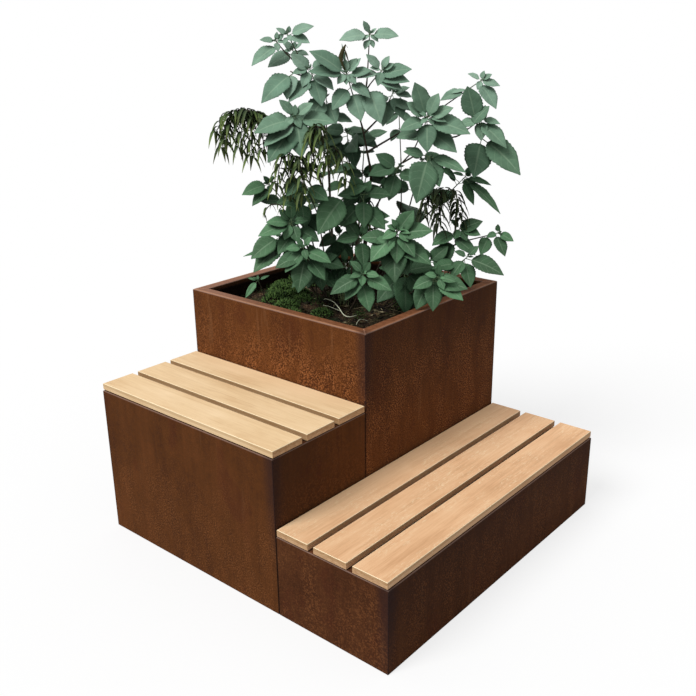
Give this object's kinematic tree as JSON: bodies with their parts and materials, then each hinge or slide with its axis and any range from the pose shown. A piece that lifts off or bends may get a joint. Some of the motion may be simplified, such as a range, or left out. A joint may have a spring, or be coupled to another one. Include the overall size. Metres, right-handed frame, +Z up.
{
  "type": "bench with planter",
  "caption": "Weathering-steel planter with a leafy shrub, a high slatted bench along its front and a low slatted bench along one side.",
  "frame": {"origin": "on the ground under the middle of the planter, at the underside of its middle bearer", "axes": "+Z up; +X along the high bench and the planter's front, towards the low bench; +Y from the high bench through the planter to its back"},
  "size_m": [1.213, 1.1826, 1.6691],
  "materials": {
    "weathering_steel": "matte",
    "slat_wood_high": "matte",
    "slat_wood_low": "matte",
    "rubber_pad": "matte",
    "zinc_steel": "satin",
    "gravel": "matte",
    "fleece": "matte",
    "soil": "matte",
    "leaf": "matte",
    "narrow_leaf": "matte",
    "bark": "matte",
    "moss": "matte"
  },
  "bodies": {
    "root": {"drainage_gravel": "gravel", "filter_fleece": "fleece", "high_bench_back_panel": "weathering_steel", "high_bench_foot_plates": "weathering_steel", "high_bench_front_panel": "weathering_steel", "high_bench_left_panel": "weathering_steel", "high_bench_pads": "rubber_pad", "high_bench_rail_1": "weathering_steel", "high_bench_right_panel": "weathering_steel", "high_bench_screws": "zinc_steel", "high_bench_slat_inner": "slat_wood_high", "high_bench_slat_middle": "slat_wood_high", "high_bench_slat_outer": "slat_wood_high", "leaves_back": "leaf", "leaves_crown": "leaf", "leaves_front": "leaf", "leaves_left": "leaf", "leaves_low": "leaf", "leaves_right": "leaf", "link_bolts": "zinc_steel", "link_nuts": "zinc_steel", "link_spacers": "zinc_steel", "low_bench_back_panel": "weathering_steel", "low_bench_foot_plates": "weathering_steel", "low_bench_front_panel": "weathering_steel", "low_bench_left_panel": "weathering_steel", "low_bench_pads": "rubber_pad", "low_bench_rail_1": "weathering_steel", "low_bench_rail_2": "weathering_steel", "low_bench_right_panel": "weathering_steel", "low_bench_screws": "zinc_steel", "low_bench_slat_inner": "slat_wood_low", "low_bench_slat_middle": "slat_wood_low", "low_bench_slat_outer": "slat_wood_low", "moss": "moss", "planter_back_panel": "weathering_steel", "planter_base": "weathering_steel", "planter_bearer_back": "weathering_steel", "planter_bearer_front": "weathering_steel", "planter_bearer_middle": "weathering_steel", "planter_front_panel": "weathering_steel", "planter_left_panel": "weathering_steel", "planter_right_panel": "weathering_steel", "shrub_branches": "bark", "shrub_stems": "bark", "soil": "soil", "tassel_left": "narrow_leaf", "tassel_lower": "narrow_leaf", "tassel_middle": "narrow_leaf", "tassel_right": "narrow_leaf"}
  },
  "joints": []
}
